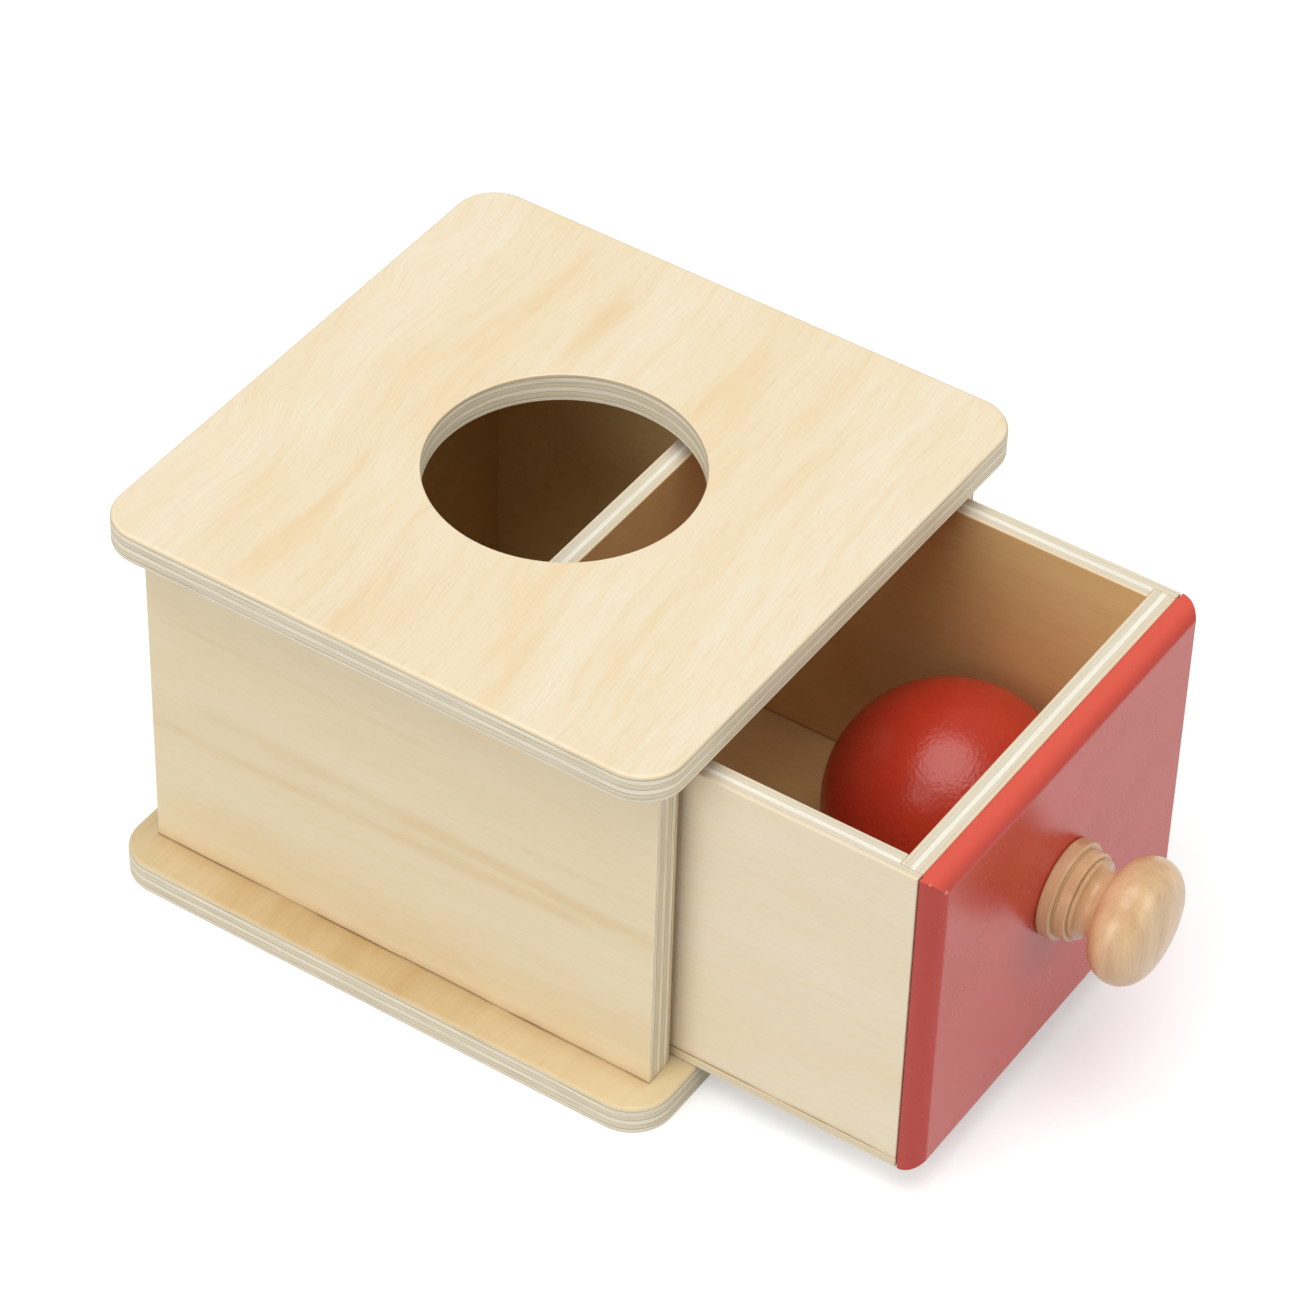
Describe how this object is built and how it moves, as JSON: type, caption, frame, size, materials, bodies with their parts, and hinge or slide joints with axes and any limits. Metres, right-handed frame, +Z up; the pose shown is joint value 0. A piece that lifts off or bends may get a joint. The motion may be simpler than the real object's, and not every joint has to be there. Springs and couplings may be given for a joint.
{
  "type": "object permanence box",
  "caption": "Wooden object permanence box: a plywood box with a round hole in its lid and a drawer with a turned knob that catches a loose painted ball.",
  "frame": {"origin": "middle of the base panel's underside", "axes": "+Z up; the drawer opens towards -Y, so +Y is the back; +X is right as seen from the front"},
  "size_m": [0.175, 0.2737, 0.128],
  "materials": {
    "birch_ply": "clear satin lacquer on birch plywood",
    "drawer_ply": "clear satin lacquer on thin birch plywood",
    "red_paint": "satin red paint on wood",
    "ball_paint": "satin red paint on a turned wooden ball",
    "turned_beech": "satin lacquer on turned beech",
    "dowel_wood": "plain beech dowel",
    "screw_steel": "bright zinc"
  },
  "bodies": {
    "box": {"top_panel": "birch_ply", "base_panel": "birch_ply", "left_side_panel": "birch_ply", "right_side_panel": "birch_ply", "back_panel": "birch_ply", "top_dowels": "dowel_wood", "base_dowels": "dowel_wood", "back_dowels": "dowel_wood"},
    "drawer": {"drawer_left_side": "drawer_ply", "drawer_right_side": "drawer_ply", "drawer_front_panel": "drawer_ply", "drawer_back_panel": "drawer_ply", "drawer_bottom": "drawer_ply", "drawer_face": "red_paint", "knob": "turned_beech", "knob_screw": "screw_steel"},
    "ball": {"ball": "ball_paint"}
  },
  "joints": [
    {"name": "drawer_slide", "type": "slide", "parent": "box", "child": "drawer", "axis": [0, -1, 0], "range_m": [-0.075, 0.031]},
    {"name": "ball_roll", "type": "slide", "parent": "drawer", "child": "ball", "axis": [0, 1, 0], "range_m": [0, 0.0584]}
  ]
}
